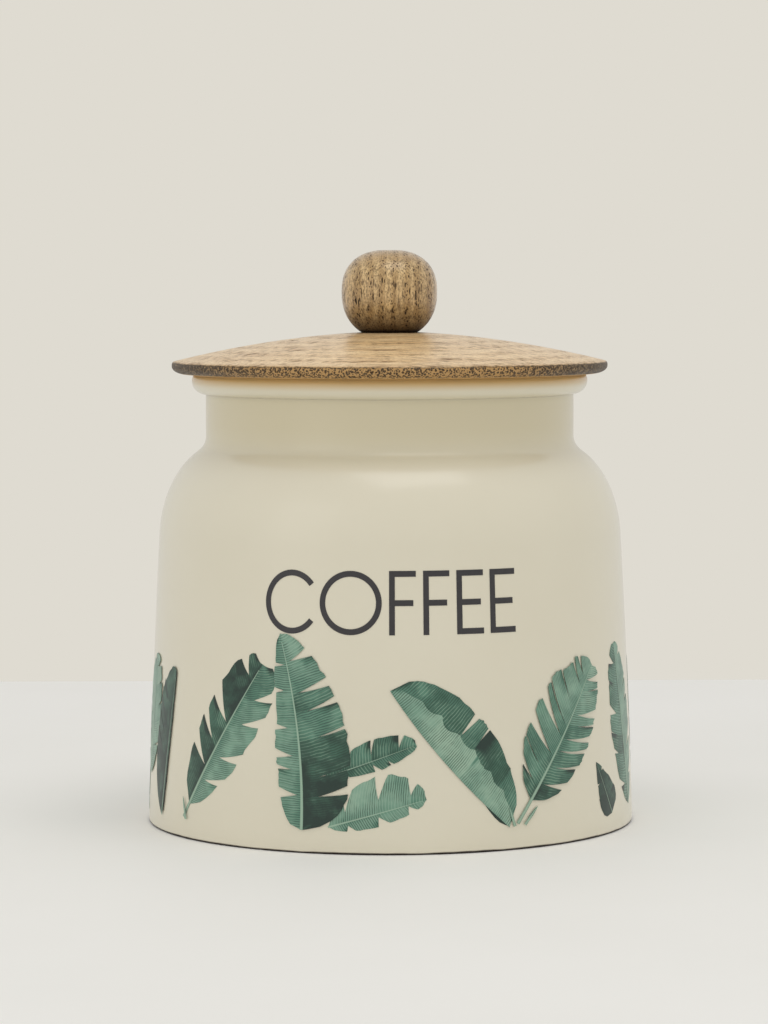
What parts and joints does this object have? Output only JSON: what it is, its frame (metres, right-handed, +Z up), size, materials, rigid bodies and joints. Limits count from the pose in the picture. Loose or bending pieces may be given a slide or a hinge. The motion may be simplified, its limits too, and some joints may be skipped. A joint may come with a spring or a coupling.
{
  "type": "coffee tin",
  "caption": "Round shouldered enamelled steel kitchen canister with a rolled rim, closed by a domed wooden lid with a ball knob and a silicone seal.",
  "frame": {"origin": "centre of the foot, on the plane that the tin stands on", "axes": "+Z up along the tin's axis; the lettering faces -Y"},
  "size_m": [0.1308, 0.1308, 0.1535],
  "materials": {
    "enamelled_steel": "cream satin gloss enamel with a printed leaf border and plain lettering",
    "lid_wood": "oiled short-grained wood, darker end grain on the edge",
    "knob_wood": "oiled wood with dark pores",
    "seal": "translucent white silicone",
    "fastener_steel": "zinc plated"
  },
  "bodies": {
    "tin": {"body_shell": "enamelled_steel", "base_pan": "enamelled_steel"},
    "seal": {"lid_seal": "seal"},
    "lid": {"lid_cover": "lid_wood", "lid_plug": "lid_wood", "knob": "knob_wood", "knob_screw": "fastener_steel", "knob_washer": "fastener_steel"}
  },
  "joints": [
    {"name": "lid_lift", "type": "slide", "parent": "tin", "child": "seal", "axis": [0, 0, 1], "range_m": [0, 0.06]},
    {"name": "lid_turn", "type": "hinge", "parent": "seal", "child": "lid", "pos_m": [0, 0, 0.1212], "axis": [0, 0, 1], "continuous": true}
  ]
}
